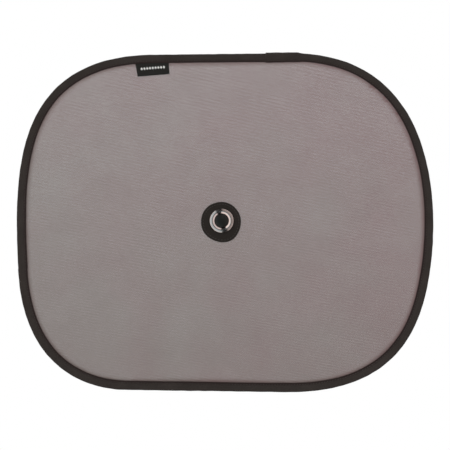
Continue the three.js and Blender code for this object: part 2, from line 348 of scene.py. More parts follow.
class Graph:
    """A node tree that is being drawn, with short calls for its nodes."""

    def __init__(self, tree: NodeTree) -> None:
        """Keeps the tree to draw in."""
        self.tree = tree

    def add(self, kind: str, **settings: object) -> Node:
        """A new node of a kind, with some of its settings."""
        node = self.tree.nodes.new("ShaderNode" + kind)
        for name, value in settings.items():
            setattr(node, name, value)
        return node

    def feed(self, socket: NodeSocket, value: object) -> None:
        """Links a socket to a value that varies, or sets it to one that doesn't."""
        if isinstance(value, NodeSocket):
            self.tree.links.new(value, socket)
        else:
            socket.default_value = (*value, 1.0) if socket.type == "RGBA" else value

    def fill(self, node: Node, **values: object) -> Node:
        """Feeds a node's inputs by name; _ stands for a space."""
        for name, value in values.items():
            self.feed(node.inputs[name.replace("_", " ")], value)
        return node

    def math(self, operation: str, *terms: object) -> NodeSocket:
        """The result of one sum."""
        node = self.add("Math", operation=operation)
        for socket, term in zip(node.inputs, terms):
            self.feed(socket, term)
        return node.outputs[0]

    def times(self, first: object, second: object) -> NodeSocket:
        """One value times another."""
        return self.math("MULTIPLY", first, second)

    def line(self, value: object, slope: object, start: object) -> NodeSocket:
        """A value times a slope, plus a start."""
        return self.math("MULTIPLY_ADD", value, slope, start)

    def leaning(self, x: NodeSocket, z: NodeSocket, of_x: float, of_z: float) -> NodeSocket:
        """The coordinate along a direction in the panel's plane."""
        return self.line(x, of_x, self.times(z, of_z))

    def split(self, vector: NodeSocket) -> list[NodeSocket]:
        """The three parts of a vector."""
        node = self.add("SeparateXYZ")
        self.feed(node.inputs[0], vector)
        return list(node.outputs)

    def place(self) -> NodeSocket:
        """Object coordinates."""
        return self.add("TexCoord").outputs["Object"]

    def cloth(self) -> NodeSocket:
        """The piece's own cloth coordinates, along and across."""
        return self.add("UVMap", uv_map="cloth").outputs[0]

    def range(self, value: object, lows: Pair, highs: Pair = (0.0, 1.0)) -> NodeSocket:
        """A value carried from one range to another, smoothly and held at its ends."""
        node = self.add("MapRange", interpolation_type="SMOOTHSTEP")
        for socket, term in zip(node.inputs, (value, *lows, *highs)):
            self.feed(socket, term)
        return node.outputs[0]

    def blend(self, share: object, first: object, second: object) -> NodeSocket:
        """A colour a share of the way from the first to the second."""
        node = self.add("Mix", data_type="RGBA")
        for index, value in ((0, share), (6, first), (7, second)):
            self.feed(node.inputs[index], value)
        return node.outputs[2]

    def noise(self, where: object, scale: object, detail: float = 2.0) -> NodeSocket:
        """Soft noise with so many patches to a metre."""
        node = self.fill(self.add("TexNoise"), Vector=where, Scale=scale, Detail=detail)
        return node.outputs["Fac"]

    def wave(self, value: object, pitch: float) -> NodeSocket:
        """A cosine of -1 to 1 with a pitch in millimetres."""
        return self.math("COSINE", self.times(value, TURN / (pitch * MM)))


def effect(
    name: str, inputs: dict[str, str], outputs: dict[str, str]
) -> tuple[NodeTree, Graph, Node, Node]:
    """A new shader node group with named sockets.

    Args:
        name: the group's name.
        inputs: the kind of each input by its name, such as Float or Vector.
        outputs: the same for the outputs.

    Returns:
        The group, its graph, its input node and its output node.
    """
    tree = bpy.data.node_groups.new(name, "ShaderNodeTree")
    for in_out, sockets in (("INPUT", inputs), ("OUTPUT", outputs)):
        for label, kind in sockets.items():
            tree.interface.new_socket(label, in_out=in_out, socket_type="NodeSocket" + kind)
    given = tree.nodes.new("NodeGroupInput")
    result = tree.nodes.new("NodeGroupOutput")
    return tree, Graph(tree), given, result


def weave_effect() -> NodeTree:
    """Threads over and under one another, on a cloth's own coordinates.

    Returns:
        A group with the inputs Vector, Warp pitch and Weft pitch, and the outputs Height, and
        Shade, a painted highlight that is light on the thread's crowns, with painted shade between
        them.
    """
    tree, graph, given, result = effect(
        "woven_threads",
        {"Vector": "Vector", "Warp pitch": "Float", "Weft pitch": "Float"},
        {"Height": "Float", "Shade": "Float"},
    )
    along, across, _ = graph.split(given.outputs["Vector"])
    warp, weft = (
        graph.math("SINE", graph.times(graph.math("DIVIDE", part, given.outputs[pitch]), math.pi))
        for part, pitch in ((across, "Warp pitch"), (along, "Weft pitch"))
    )
    over = graph.line(graph.times(warp, weft), 0.5, 0.5)
    valley = graph.times(graph.math("ABSOLUTE", warp), graph.math("ABSOLUTE", weft))
    # Shade is a painted highlight on the thread crowns and painted shade between the threads.
    graph.fill(result, Height=graph.line(over, 0.6, valley), Shade=graph.line(valley, 0.6, 0.2))
    return tree


def mottle_effect() -> NodeTree:
    """Unevenness from handling and making, at two sizes.

    Returns:
        A group with the inputs Vector and Size, and the outputs Broad and Fine.
    """
    tree, graph, given, result = effect(
        "handling_mottle",
        {"Vector": "Vector", "Size": "Float"},
        {"Broad": "Float", "Fine": "Float"},
    )
    scale = graph.math("DIVIDE", 1.0, given.outputs["Size"])
    for socket, finer, detail in zip(result.inputs, (1.0, 9.0), (3.0, 2.0)):
        finer_scale = graph.times(scale, finer)
        graph.feed(socket, graph.noise(given.outputs["Vector"], finer_scale, detail))
    return tree


@dataclass
class Effects:
    """The effects that several finishes share."""

    weave: NodeTree = field(default_factory=weave_effect)
    mottle: NodeTree = field(default_factory=mottle_effect)


class Surface(Graph):
    """A material that is being drawn, with one Principled shader."""

    def __init__(self, name: str, **constants: object) -> None:
        """Makes the material and sets its shader's constants by name; _ stands for a space."""
        self.material = bpy.data.materials.new(name)
        self.material.use_nodes = True
        super().__init__(self.material.node_tree)
        self.shader = self.tree.nodes["Principled BSDF"]
        self.fill(self.shader, **constants)

    def mottle(self, effects: Effects, size: float) -> list[NodeSocket]:
        """The broad and the fine mottle, with broad patches of a size in millimetres."""
        node = self.add("Group", node_tree=effects.mottle)
        return list(self.fill(node, Vector=self.place(), Size=size * MM).outputs)

    def weave(
        self, effects: Effects, where: NodeSocket, warp: float, weft: float
    ) -> list[NodeSocket]:
        """The height and the shade of woven threads, with pitches in millimetres."""
        node = self.add("Group", node_tree=effects.weave)
        self.fill(node, Vector=where, Warp_pitch=warp * MM, Weft_pitch=weft * MM)
        return list(node.outputs)

    def dress(self, height: NodeSocket, depth: float, **sockets: NodeSocket) -> Material:
        """Feeds the shader what varies.

        Args:
            height: the height of the bump, as a share of its depth.
            depth: the bump's depth in millimetres.
            sockets: the shader's other inputs by name, with _ for a space.

        Returns:
            The finished material.
        """
        bump = self.fill(self.add("Bump"), Distance=depth * MM, Height=height)
        self.fill(self.shader, Normal=bump.outputs[0], **sockets)
        return self.material


class Coordinates(Enum):
    """Where a finish reads its pattern from."""

    CLOTH = "the piece's own UV map"
    OBJECT = "object coordinates"


@dataclass(frozen=True)
class ClothFinish:
    """Woven polyester in two close shades, with its threads as bump.
    The lighter shade is a painted highlight on the thread crowns, and mottle also mixes the two at
    random.

    Pitches, depth, mottle size and lip are in millimetres.
    """

    name: str
    dark: Triple
    light: Triple
    warp_pitch: float
    weft_pitch: float
    depth: float
    coordinates: Coordinates = Coordinates.CLOTH
    roughness: float = 0.82
    sheen: float = 0.06
    mottle_size: float = 18.0
    # The lip range and the colour after it paint shade along the front lip's inner edge, over its
    # seam.
    lip: Pair = (0.0, 0.0)
    lip_painted_shade: Triple = (0.0, 0.0, 0.0)

    def make(self, effects: Effects) -> Material:
        """Draws the finish."""
        surface = Surface(
            self.name, Sheen_Weight=self.sheen, Sheen_Roughness=0.45, Specular_IOR_Level=0.25
        )
        if self.coordinates is Coordinates.CLOTH:
            across = surface.cloth()
        else:
            turn = surface.add("Mapping")
            surface.fill(turn, Vector=surface.place(), Rotation=(math.pi / 2, 0, 0))
            across = turn.outputs[0]
        # Painted highlight: the weave's shade lightens the thread crowns and darkens between
        # threads; the mottle added to it is random tone.
        height, shade = surface.weave(effects, across, self.warp_pitch, self.weft_pitch)
        broad, fine = surface.mottle(effects, self.mottle_size)
        shade = surface.math("ADD", shade, surface.line(broad, 0.7, -0.35))
        shade = surface.math("ADD", shade, surface.line(fine, 0.4, -0.2))
        colour = surface.blend(surface.range(shade, (0.0, 1.0)), self.dark, self.light)
        # Painted shade: the front lip darkens and reddens towards its inner edge, over the seam.
        if any(self.lip):
            depth = surface.split(across)[1]
            near = surface.range(depth, metres(self.lip), (0.0, 0.85))
            colour = surface.blend(near, colour, self.lip_painted_shade)
        rough = surface.line(fine, 0.14, self.roughness - 0.07)
        return surface.dress(height, self.depth, Base_Color=colour, Roughness=rough)


@dataclass(frozen=True)
class KnitFinish:
    """Fine warp knit of black yarn, open enough to see through.

    Its courses rise a little to the right. Heavier bars cross them at a slant, closer together
    towards the bottom, where the knit is stretched less. Lengths are in millimetres.
    """

    name: str = "black_warp_knit"
    # Each yarn tone has a lighter crown colour, a painted highlight on the yarn's crowns.
    warm_yarn: Triple = (0.123, 0.070, 0.070)
    warm_crown_highlight: Triple = (0.164, 0.096, 0.096)
    cool_yarn: Triple = (0.123, 0.099, 0.090)
    cool_crown_highlight: Triple = (0.164, 0.131, 0.121)
    cooler_left: float = 1.6
    cooler_down: float = 2.0
    tone_patch: float = 70.0
    hole_spacing: float = 0.95
    course_pitch: float = 1.5
    course_rise: float = 5.0
    openness: float = 0.68
    mottle_size: float = 30.0
    mottling: Pair = (0.20, 0.12)
    bar_pitch: float = 3.18
    bar_fall: float = 11.5
    bar_closing: float = 0.000131
    bar_strength: float = 0.055
    bar_patch: float = 9.0
    # The knit opens, and so lightens, towards the top: painted light from above.
    painted_light_upwards_per_metre: float = 1.15
    # The knit is made less open, and so darker, over the first few millimetres in from the binding.
    sewn: Pair = (9.2, 16.5)
    closing_near_binding: float = 0.60
    gather_at: Pair = (185.0, 108.0)
    gather_reach: Pair = (45.0, 95.0)
    gather_depths: Pair = (11.0, 21.0)
    gather_apart: float = 4.5
    gather_painted_shade: float = 0.22
    bump: float = 0.06

    def make(self, effects: Effects) -> Material:
        """Draws the finish, with the holes in its alpha."""
        surface = Surface(self.name, Roughness=0.8, Specular_IOR_Level=0.25, Sheen_Weight=0.08)
        where = surface.place()
        x, _, z = surface.split(where)
        run, depth, _ = surface.split(surface.cloth())
        rise = math.radians(self.course_rise)
        along = surface.leaning(x, z, math.cos(rise), math.sin(rise))
        up = surface.leaning(x, z, -math.sin(rise), math.cos(rise))
        along, up = surface.wave(along, self.hole_spacing), surface.wave(up, self.course_pitch)
        holes = surface.times(along, up)
        share = surface.line(self.bars(surface, where, x, z), self.bar_strength, self.openness)
        # Painted light from above: the knit is made more open, and so lighter, higher up.
        share = surface.line(z, self.painted_light_upwards_per_metre, share)
        for mottle, strength in zip(surface.mottle(effects, self.mottle_size), self.mottling):
            share = surface.line(surface.math("SUBTRACT", mottle, 0.5), strength, share)
        # Less open, and so darker, over the first few millimetres in from the binding.
        sewn = surface.range(depth, metres(self.sewn), (1.0, 0.0))
        share = surface.line(surface.times(sewn, sewn), -self.closing_near_binding, share)
        # Painted shade: the knit closes along its gathers so that they show dark.
        gathers = self.gathers(surface, x, z, run, depth)
        share = surface.line(gathers, -self.gather_painted_shade, share)
        hole = surface.times(surface.math("MAXIMUM", holes, 0.0), share)
        alpha = surface.math("SUBTRACT", 1.0, hole)
        # crown paints a highlight on the yarn crowns, darker towards the holes, and also drives the
        # bump.
        crown = surface.line(holes, -0.5, 0.5)
        warm = surface.blend(crown, self.warm_yarn, self.warm_crown_highlight)
        cool = surface.blend(crown, self.cool_yarn, self.cool_crown_highlight)
        patchy = surface.line(surface.noise(where, 1 / (self.tone_patch * MM)), 1.3, -0.13)
        tone = surface.leaning(x, z, -self.cooler_left, -self.cooler_down)
        tone = surface.math("ADD", tone, patchy)
        alpha.node.use_clamp = tone.node.use_clamp = True
        colour = surface.blend(tone, warm, cool)
        return surface.dress(crown, self.bump, Base_Color=colour, Alpha=alpha)

    def bars(
        self, surface: Surface, where: NodeSocket, x: NodeSocket, z: NodeSocket
    ) -> NodeSocket:
        """The slanting bars, of about -1 to 1, stronger in some places than in others."""
        fall = math.radians(self.bar_fall)
        slant = surface.leaning(x, z, math.sin(fall), math.cos(fall))
        closing = surface.times(surface.times(z, z), self.bar_closing / MM)
        phase = surface.math("SUBTRACT", surface.math("DIVIDE", slant, self.bar_pitch), closing)
        bars = surface.math("SINE", surface.times(phase, TURN / MM))
        broken = surface.noise(where, 1 / (self.bar_patch * MM))
        return surface.times(bars, surface.range(broken, (0.3, 0.7), (0.35, 1.65)))

    def gathers(
        self, surface: Surface, x: NodeSocket, z: NodeSocket, run: NodeSocket, depth: NodeSocket
    ) -> NodeSocket:
        """Painted shade along short gathers in from the seam, strongest at the top right corner,
        from 0 to 1.
        """
        places = zip((x, z), metres(self.gather_at))
        away = [surface.math("SUBTRACT", part, middle) for part, middle in places]
        squares = [surface.times(part, part) for part in away]
        distance = surface.math("SQRT", surface.math("ADD", *squares))
        near = surface.range(distance, metres(self.gather_reach), (1.0, 0.16))
        band = surface.range(depth, metres(self.gather_depths), (1.0, 0.0))
        where = surface.add("CombineXYZ")
        surface.fill(where, X=run, Y=surface.times(depth, 0.3))
        folds = surface.noise(where.outputs[0], 1 / (self.gather_apart * MM), 1.0)
        return surface.times(surface.times(surface.range(folds, (0.50, 0.68)), band), near)


@dataclass(frozen=True)
class LabelFinish:
    """Damask label in satin weave, with a plain row of small woven diamonds."""

    name: str = "label_satin"
    ground: Triple = (0.0060, 0.0064, 0.0050)
    ground_crown_highlight: Triple = (0.0130, 0.0138, 0.0110)
    figure: Triple = (0.62, 0.62, 0.60)
    mottle_size: float = 8.0
    thread_pitch: float = 0.28
    diamond_pitch: float = 3.0
    diamond_half: Pair = (1.25, 1.7)
    row_half: float = 13.5
    row_down: float = 7.9
    bump: float = 0.06

    def make(self, effects: Effects) -> Material:
        """Draws the finish."""
        surface = Surface(
            self.name, Specular_IOR_Level=0.25, Sheen_Weight=0.04, Sheen_Roughness=0.4
        )
        cloth = surface.cloth()
        height, shade = surface.weave(effects, cloth, self.thread_pitch, 1.6 * self.thread_pitch)
        broad, fine = surface.mottle(effects, self.mottle_size)
        shade = surface.math("ADD", shade, surface.line(fine, 0.5, -0.25))
        shade.node.use_clamp = True
        # The satin ground is painted lighter on its thread crowns, a painted highlight, and darker
        # between them.
        ground = surface.blend(shade, self.ground, self.ground_crown_highlight)
        figure = self.diamonds(surface, cloth)
        colour = surface.blend(figure, ground, self.figure)
        rough = surface.line(broad, 0.2, 0.5)
        height = surface.math("ADD", height, figure)
        return surface.dress(height, self.bump, Base_Color=colour, Roughness=rough)

    def diamonds(self, surface: Surface, cloth: NodeSocket) -> NodeSocket:
        """1 on the row of diamonds and 0 off it, stepped from thread to thread."""
        step = self.thread_pitch * MM
        side, down = (surface.math("SNAP", part, step) for part in surface.split(cloth)[:2])
        near = surface.math("PINGPONG", side, self.diamond_pitch / 2 * MM)
        off = surface.math("ABSOLUTE", surface.math("SUBTRACT", down, self.row_down * MM))
        wide, tall = metres(self.diamond_half)
        reach = surface.line(near, 1 / wide, surface.math("DIVIDE", off, tall))
        inside = surface.math("LESS_THAN", reach, 1.0)
        in_row = surface.math("LESS_THAN", surface.math("ABSOLUTE", side), self.row_half * MM)
        return surface.times(inside, in_row)


class Mottle(Enum):
    """Which mottle a finish's roughness follows."""

    BROAD = 0
    FINE = 1


@dataclass(frozen=True)
class SolidFinish:
    """Metal or vinyl, duller in places, with fine marks from handling.

    Mottle size and depth are in millimetres. rough is the least roughness and what is added.
    """

    name: str
    colour: Triple
    dull: Triple
    rough: Pair
    metallic: float = 1.0
    specular: float = 0.5
    dull_from: Pair = (0.35, 0.75)
    mottle_size: float = 6.4
    rough_from: Mottle = Mottle.FINE
    depth: float = 0.012

    def make(self, effects: Effects) -> Material:
        """Draws the finish."""
        surface = Surface(self.name, Metallic=self.metallic, Specular_IOR_Level=self.specular)
        mottles = surface.mottle(effects, self.mottle_size)
        worn = surface.range(mottles[0], self.dull_from)
        colour = surface.blend(worn, self.colour, self.dull)
        least, added = self.rough
        rough = surface.line(mottles[self.rough_from.value], added, least)
        return surface.dress(mottles[1], self.depth, Base_Color=colour, Roughness=rough)


TAPE_FINISH = ClothFinish(
    "binding_tape_weave", (0.0168, 0.0128, 0.0105), (0.0360, 0.0285, 0.0248),
    warp_pitch=0.75, weft_pitch=0.9, depth=0.12,
    # Painted shade along the front lip's inner edge, darker and redder.
    lip=(16.6, 19.2), lip_painted_shade=(0.0165, 0.0085, 0.0075),
)
PATCH_FINISH = ClothFinish(
    "patch_canvas", (0.0105, 0.0078, 0.0060), (0.0215, 0.0168, 0.0135),
    warp_pitch=0.7, weft_pitch=0.7, depth=0.10, coordinates=Coordinates.OBJECT,
)
THREAD_FINISH = ClothFinish(
    "sewing_thread", (0.0150, 0.0120, 0.0100), (0.0450, 0.0380, 0.0340),
    warp_pitch=0.4, weft_pitch=0.4, depth=0.05, coordinates=Coordinates.OBJECT,
    roughness=0.6, sheen=0.2,
)
NICKEL_FINISH = SolidFinish("eyelet_nickel", (0.72, 0.66, 0.63), (0.60, 0.55, 0.52), (0.09, 0.12))
STEEL_FINISH = SolidFinish("spring_steel", (0.36, 0.36, 0.37), (0.22, 0.21, 0.20), (0.28, 0.12))
FERRULE_FINISH = SolidFinish("ferrule_zinc", (0.48, 0.48, 0.49), (0.34, 0.33, 0.32), (0.36, 0.12))
VINYL_FINISH = SolidFinish(
    "black_cup_vinyl", (0.0085, 0.0082, 0.0066), (0.019, 0.018, 0.016), (0.22, 0.22),
    metallic=0.0, specular=0.35, dull_from=(0.4, 0.8), mottle_size=7.0,
    rough_from=Mottle.BROAD, depth=0.02,
)


# Cloth pieces


@dataclass
class Binding:
    """The folded tape round the edge, its overlap, and the lift of its front lip over the label."""

    outline: Outline
    tape: float = 0.4
    cut_width: float = 20.6
    width: float = 9.41
    width_waves: tuple[Pair, ...] = ((-0.24, -0.59), (0.08, -0.02), (-0.03, -0.21))
    wire_inset: float = 1.4
    plain_pocket: float = 1.0
    sleeve_pocket: float = 1.55
    slot_half: float = 0.35
    label_slot_half: float = 0.95
    leg_ease: float = 5.6
    label_half: float = 18.15
    lip_ease: float = 7.0
    overlap_before_turn: float = 25.2
    overlap_length: float = 41.0
    overlap_dip: float = 0.6
    cut_end: float = 0.22
    under_end: float = 8.0
    pocket_ease: float = 5.0
    seam_inset: float = 2.1
    seam_dip: float = 0.17
    seam_half: float = 0.75
    stitch_pitch: float = 3.0
    station_apart: float = 1.2
    pucker: float = 0.06
    corner_pucker: float = 9.0
    fold_slack: float = 0.02
    fold_ripple: float = 0.12
    width_drift: float = 0.16

    @property
    def label_run(self) -> float:
        """The run at the label's middle, where the top left corner ends."""
        return self.outline.ends[0]

    @property
    def overlap_from(self) -> float:
        """The run at the tape's visible cut end."""
        return self.outline.ends[1] - self.overlap_before_turn

    @property
    def overlap_to(self) -> float:
        """The run at the end of the tape that lies under."""
        return self.overlap_from + self.overlap_length

    @staticmethod
    def plateau(run: float, low: float, high: float, ease_in: float, ease_out: float) -> float:
        """1 between two runs, and eased down to 0 outside them."""
        return min(ease(1 - (low - run) / ease_in), ease(1 - (run - high) / ease_out))

    def doubled(self, run: float) -> float:
        """How far the tape lies double at a run, from 0 to 1."""
        low, high = self.overlap_from, self.overlap_to - self.under_end
        return self.plateau(run, low, high, self.cut_end, self.under_end)

    def lifted(self, run: float) -> float:
        """How far the label lifts the front lip at a run, from 0 to 1."""
        low, high = self.label_run - self.label_half, self.label_run + self.label_half
        return self.plateau(run, low, high, self.lip_ease, self.lip_ease)

    def fold(self, run: float) -> float:
        """The fold's outer radius round the wire at a run."""
        low, high = self.overlap_from, self.overlap_to - self.under_end
        widened = self.plateau(run, low, high, 2 * self.cut_end, self.pocket_ease)
        pocket = mix(self.plain_pocket, self.sleeve_pocket, widened)
        ripple = self.fold_ripple * wander(run / 8, 4.2)
        return pocket + self.tape * (1 + self.doubled(run)) + self.fold_slack + ripple

    def reach(self, place: Place) -> float:
        """How deep in from the edge the tape's inner edge lies at a place."""
        angle = math.atan2(place.point.y, place.point.x)
        width = self.width + self.overlap_dip * self.doubled(place.run)
        for i, (cosine, sine) in enumerate(self.width_waves, 1):
            width += cosine * math.cos(i * angle) + sine * math.sin(i * angle)
        return width + self.width_drift * wander(place.run / 27, 1.3)

    def leg(self, place: Place, depth: float, side: int) -> float:
        """The height of the tape's outer face over the panel's middle plane.

        Args:
            place: the place on the edge.
            depth: how far in from the edge.
            side: -1 for the front lip and 1 for the back one.
        """
        run = place.run
        slot = self.slot_half
        if side < 0:
            slot = mix(slot, self.label_slot_half, self.lifted(run))
        lip = slot + self.tape * (1 + self.doubled(run))
        settled = ease((depth - self.wire_inset) / self.leg_ease)
        height = mix(self.fold(run), lip, settled)
        inner = clamp((depth - 3) / 6)
        gather = self.pucker * (1 + self.corner_pucker * min(place.turn * 12, 1))
        height += gather * inner * wander(run / 3.1, side * 2.5, depth / 14)
        phase = math.cos(TURN * run / self.stitch_pitch)
        off_seam = depth - self.reach(place) + self.seam_inset
        groove = math.exp(-((off_seam / self.seam_half) ** 2))
        return height - self.seam_dip * groove * (0.7 - 0.3 * phase)

    def section(self, place: Place) -> list[Pair]:
        """One closed section, from the back lip round the wire to the front lip and back inside."""
        run, fold, reach = place.run, self.fold(place.run), self.reach(place)
        tape = self.tape * (1 + self.doubled(run))
        seam = reach - self.seam_inset
        half = self.seam_half
        depths = [
            reach - 0.14, reach - 0.7, seam + half, seam + 0.38, seam, seam - 0.38, seam - half,
            seam - 1.5, 4.9, 4.0, 3.1, 2.2,
        ]
        back = [(d, self.leg(place, d, 1)) for d in depths]
        front = [(d, -self.leg(place, d, -1)) for d in reversed(depths)]
        bend = arc((self.wire_inset, 0), (fold, fold), 90, 270, 12)
        inside = [reach - 0.1, seam, 4.2, 2.4]
        front_in = [(d, tape - self.leg(place, d, -1)) for d in inside]
        back_in = [(d, self.leg(place, d, 1) - tape) for d in reversed(inside)]
        pocket = arc((self.wire_inset, 0), (fold - tape, fold - tape), 270, 90, 8)
        outside = [(reach, back[0][1] - 0.12), *back, *bend, *front, (reach, front[-1][1] + 0.12)]
        return [*outside, *front_in, *pocket, *back_in, outside[0]]

    def make(self, material: Material) -> Object:
        """Lofts the tape round the whole edge."""
        count = round(self.outline.length / self.station_apart)
        runs = [self.outline.length * i / count for i in range(count)]
        cut = self.overlap_from
        runs = [r for r in runs if abs(r - cut) > 0.7]
        runs += [cut - 0.45, cut - self.cut_end, cut - self.cut_end / 2, cut, cut + 0.45]
        runs = [*sorted(runs), self.outline.length]
        rows, marks = [], []
        for run in runs:
            place = self.outline.at(run)
            section = self.section(self.outline.at(0)) if run == runs[-1] else self.section(place)
            total, totals = 0.0, []
            for before, after in zip([section[0], *section], section):
                total += math.dist(before, after)
                totals.append(total)
            lip = section.index(min(section, key=lambda point: (-point[0] // 0.05, point[1])))
            shift = self.cut_width - totals[lip]
            rows.append([place.spot(*point) for point in section])
            marks.append([(run * MM, (total + shift) * MM) for total in totals])
        bm = loft(rows, marks, round_rows=True, round_path=True)
        bmesh.ops.recalc_face_normals(bm, faces=bm.faces)
        return finished(
            "binding_tape_cloth", bm, material, "shade", ["edge_binding"]
        )

    def stitches(self, material: Material) -> list[Object]:
        """The lockstitches of the seam, on the front and on the back."""
        count = round(self.outline.length / self.stitch_pitch)
        pieces = []
        for side, name in ((-1, "seam_stitches_front"), (1, "seam_stitches_back")):
            spots = []
            for i in range(count):
                place = self.outline.at(self.outline.length * (i + 0.5) / count)
                depth = self.reach(place) - self.seam_inset
                height = side * (self.leg(place, depth, side) + 0.03)
                along = Vector((place.along.x, 0, place.along.y))
                spots.append((place.spot(depth, height), along, side))
            pieces.append(stitch_row(name, spots, material))
        return pieces


def stitch_row(
    name: str,
    spots: Sequence[tuple[Vector, Vector, int]],
    material: Material,
    size: Triple = (2.35, 0.40, 0.52),
    slant: float = 3.5,
) -> Object:
    """A row of single lockstitches, each a short length of thread that dips in at both ends.

    Args:
        name: the piece's name.
        spots: each stitch's middle in metres, its direction, and -1 for front or 1 for back.
        material: the thread's finish.
        size: one stitch's length, height and width.
        slant: how far each stitch lies off the seam's line, in degrees.
    """
    one = bmesh.new()
    bmesh.ops.create_uvsphere(one, u_segments=8, v_segments=6, radius=0.5 * MM)
    bmesh.ops.rotate(one, verts=one.verts, matrix=Matrix.Rotation(math.pi / 2, 3, "Y"))
    bmesh.ops.scale(one, verts=one.verts, vec=size)
    template = bpy.data.meshes.new(name + "_one")
    one.to_mesh(template)
    one.free()
    row = bmesh.new()
    for middle, along, side in spots:
        before = len(row.verts)
        row.from_mesh(template)
        row.verts.ensure_lookup_table()
        out = Vector((0, side, 0))
        lean = Matrix.Rotation(math.radians(slant), 4, out)
        axis = (lean @ along).normalized()
        turn = Matrix((axis, out, axis.cross(out))).transposed().to_4x4()
        bmesh.ops.transform(
            row, matrix=Matrix.Translation(middle) @ turn, verts=row.verts[before:]
        )
    bpy.data.meshes.remove(template)
    bmesh.ops.recalc_face_normals(row, faces=row.faces)
    return finished(name, row, material, "shade")


@dataclass
class Panel:
    """The knitted mesh, held taut by the hoop, with light puckers where it is sewn in."""

    outline: Outline
    inset: float = 2.95
    stations: int = 480
    rings: int = 46
    binding_width: float = 9.5
    pucker: float = 0.16
    strong_pucker: float = 0.55
    strong_at: Pair = (185.0, 108.0)
    strong_reach: float = 70.0
    billow: float = 0.35
    ripple_apart: float = 6.5
    ripple_fade: float = 13.0
    billow_apart: float = 85.0
    flat_cut: Pair = (434.1, 352.1)

    def height(self, place: Place, spot: Vector, depth: float) -> float:
        """How far the knit stands off its middle plane, towards the glass."""
        near = math.dist((spot.x, spot.y), self.strong_at) / self.strong_reach
        strength = mix(self.strong_pucker, self.pucker, ease(near))
        inner = max(depth - self.binding_width, 0)
        fade = math.exp(-inner / self.ripple_fade) * ease((depth - 8) / 4)
        ripple = strength * fade * wander(place.run / self.ripple_apart, inner / 90, 2.2)
        clear = ease((spot.length - LAYERS.patch_radius - 2) / 30) * ease((depth - 9) / 25)
        x, z = (part / self.billow_apart for part in spot)
        return ripple + self.billow * clear * wander(x, z, 8.1)

    def make(self, material: Material) -> tuple[Object, float]:
        """Lofts the knit from the binding in to the eyelet's barrel.

        Returns:
            The piece, and the flat area of its cut in square metres.
        """
        rows, marks = [], []
        for i in range(self.stations + 1):
            place = self.outline.at(self.outline.length * (i % self.stations) / self.stations)
            edge = place.point + place.inwards * self.inset
            hole = edge.normalized() * LAYERS.barrel_hole
            row, mark = [], []
            for j in range(self.rings + 1):
                spot = edge.lerp(hole, (j / self.rings) ** 1.3)
                depth = self.inset + (spot - edge).length
                y = LAYERS.panel_middle + self.height(place, spot, depth)
                row.append(Vector((spot.x, y, spot.y)) * MM)
                mark.append((place.run * MM, depth * MM))
            rows.append(row)
            marks.append(mark)
        bm = loft(rows, marks, round_rows=False, round_path=True)
        bmesh.ops.recalc_face_normals(bm, faces=bm.faces)
        if sum(face.normal.y for face in bm.faces) > 0:
            bmesh.ops.reverse_faces(bm, faces=bm.faces)
        area = sum(abs(face.normal.y) * face.calc_area() for face in bm.faces)
        piece = finished("mesh_panel_knit", bm, material, "shade", ["mesh_panel"])
        return piece, area


class Face(Enum):
    """The two faces of the shade."""

    FRONT = -1
    BACK = 1


@dataclass
class Patch:
    """One round patch, cut by hand and so not quite round, with its ring of stitches."""

    face: Face
    node: str
    near: float
    far: float
    trim: float = 0.0
    larger: float = 0.22
    ragged: float = 0.06
    cut: tuple[Pair, ...] = (
        (-0.57, -1.45), (-0.13, -0.21), (-0.25, 0.06), (-0.07, 0.15), (0.12, 0.02),
    )
    seam_radius: float = 18.6
    stitch_pitch: float = 3.0
    steps: int = 144

    def make(self, material: Material) -> Object:
        """Spins the patch's section and takes its edge out to the cut line."""
        hole, radius, edge = LAYERS.barrel_hole, LAYERS.patch_radius, 0.14
        seam, dip = self.seam_radius, 0.10
        low, high = self.near, self.far
        out = 1 if high > low else -1
        profile = [
            (hole, low), (radius - edge, low), (radius, low + out * edge),
            (radius, high - out * edge), (radius - edge, high), (radius - 1, high),
            (seam + 0.8, high), (seam + 0.4, high - out * dip * 0.5), (seam, high - out * dip),
            (seam - 0.4, high - out * dip * 0.5), (seam - 0.8, high), (16, high), (13, high),
            (10, high), (hole, high),
        ]
        bm = turned(profile, closed=True, steps=self.steps)
        for vert in bm.verts:
            flat = Vector((vert.co.x, vert.co.z)) / MM
            longer = 1 + self.further(math.atan2(flat.y, flat.x), flat.length) / flat.length
            vert.co.x *= longer
            vert.co.z *= longer
        return finished(self.node + "_cloth", bm, material, "shade", [self.node])

    def further(self, angle: float, radius: float) -> float:
        """How much further out the hand-cut cloth lies than the plain ring."""
        turn = Vector((math.cos(angle), math.sin(angle)))
        out = self.larger - self.trim + self.ragged * wander(turn.x * 9, turn.y * 9, self.near)
        for i, (cosine, sine) in enumerate(self.cut, 1):
            out += cosine * math.cos(i * angle) + sine * math.sin(i * angle)
        return out * ease((radius - 14) / 5)

    def stitches(self, material: Material) -> Object:
        """The ring of stitches on the patch's outer face."""
        count = round(TURN * self.seam_radius / self.stitch_pitch)
        out = 1 if self.far > self.near else -1
        spots = []
        for i in range(count):
            angle = TURN * (i + 0.3) / count
            across = Vector((math.cos(angle), 0, math.sin(angle)))
            middle = across * (self.seam_radius + self.further(angle, self.seam_radius))
            middle.y = self.far - out * 0.06
            along = Vector((-across.z, 0, across.x))
            spots.append((middle * MM, along, self.face.value))
        return stitch_row(self.node + "_stitches", spots, material)


